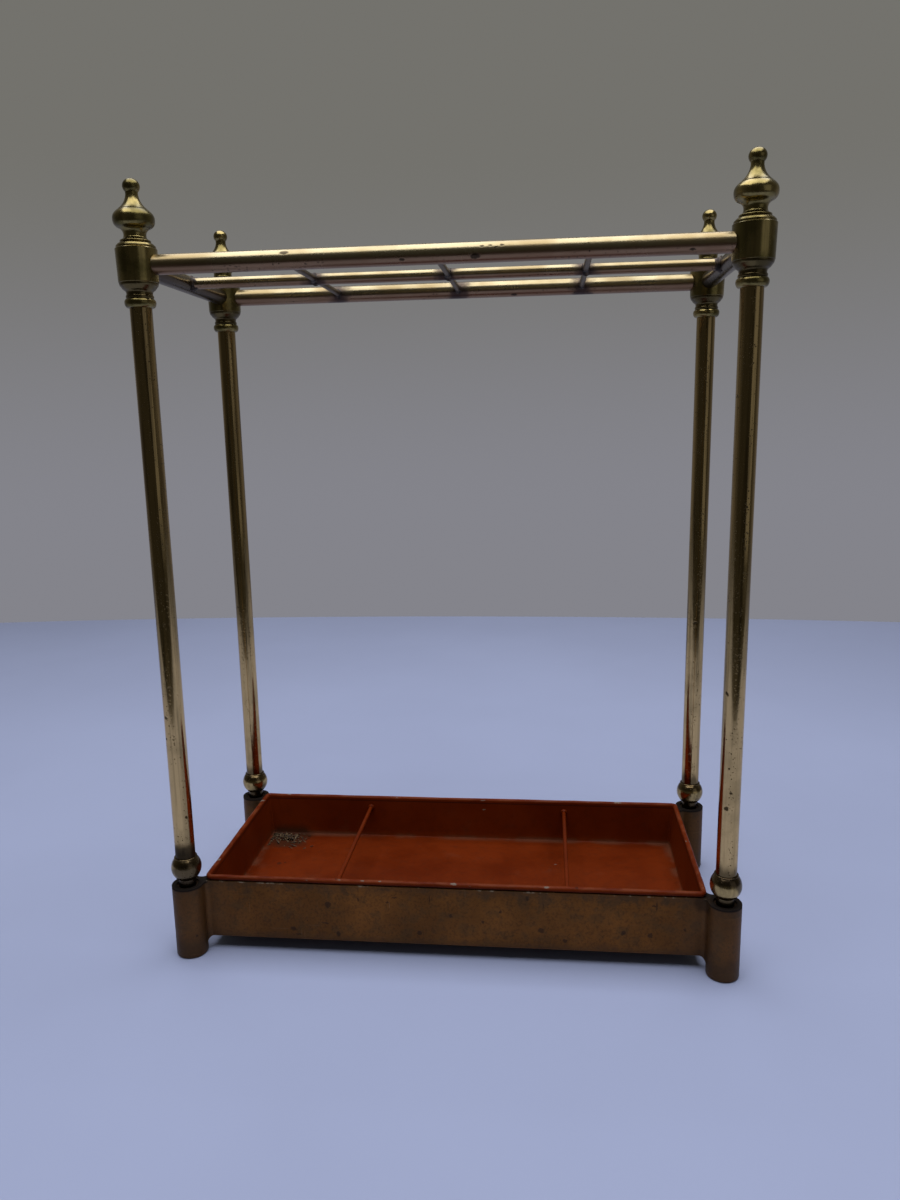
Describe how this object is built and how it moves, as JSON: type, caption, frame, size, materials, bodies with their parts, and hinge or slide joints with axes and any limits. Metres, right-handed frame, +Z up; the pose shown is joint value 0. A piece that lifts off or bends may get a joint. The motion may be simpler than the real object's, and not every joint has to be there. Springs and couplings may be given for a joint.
{
  "type": "umbrella stand",
  "caption": "Free-standing rectangular stick stand: brass tube legs with turned finials, a top grid of rails, a cast base and a painted drip tray that lifts out.",
  "frame": {"origin": "on the floor, in the middle of the four feet", "axes": "+Z up, +X to the right along the long side, +Y from the front to the back"},
  "size_m": [0.5238, 0.2378, 0.6858],
  "materials": {
    "brass_tube": "aged, glossy, tarnished at the top and bright near the feet",
    "turned_brass": "aged, glossy, olive-brown tarnish",
    "dull_brass": "dull, dark grey-brown tarnish",
    "bronzed_iron": "bronzed casting, worn satin with dark spots",
    "red_paint": "red-oxide paint, satin, chipped at the rim",
    "steel": "plain"
  },
  "bodies": {
    "frame": {"base_frame": "bronzed_iron", "tie_rod_nuts": "steel", "tie_rod_washers": "steel", "leg_tube_front_left": "brass_tube", "ball_collar_front_left": "turned_brass", "corner_head_front_left": "turned_brass", "finial_front_left": "turned_brass", "tie_rod_front_left": "steel", "leg_tube_front_right": "brass_tube", "ball_collar_front_right": "turned_brass", "corner_head_front_right": "turned_brass", "finial_front_right": "turned_brass", "tie_rod_front_right": "steel", "leg_tube_back_left": "brass_tube", "ball_collar_back_left": "turned_brass", "corner_head_back_left": "turned_brass", "finial_back_left": "turned_brass", "tie_rod_back_left": "steel", "leg_tube_back_right": "brass_tube", "ball_collar_back_right": "turned_brass", "corner_head_back_right": "turned_brass", "finial_back_right": "turned_brass", "tie_rod_back_right": "steel", "front_rail": "brass_tube", "back_rail": "brass_tube", "left_rail": "brass_tube", "right_rail": "brass_tube", "middle_rail": "brass_tube", "cross_rod_1": "dull_brass", "cross_rod_2": "dull_brass", "cross_rod_3": "dull_brass"},
    "tray": {"drip_tray": "red_paint", "tray_edge_wire": "steel", "tray_divider_left": "red_paint", "tray_divider_right": "red_paint"}
  },
  "joints": [
    {"name": "tray_lift", "type": "slide", "parent": "frame", "child": "tray", "axis": [0, 0, 1], "range_m": [0, 0.0547]}
  ]
}
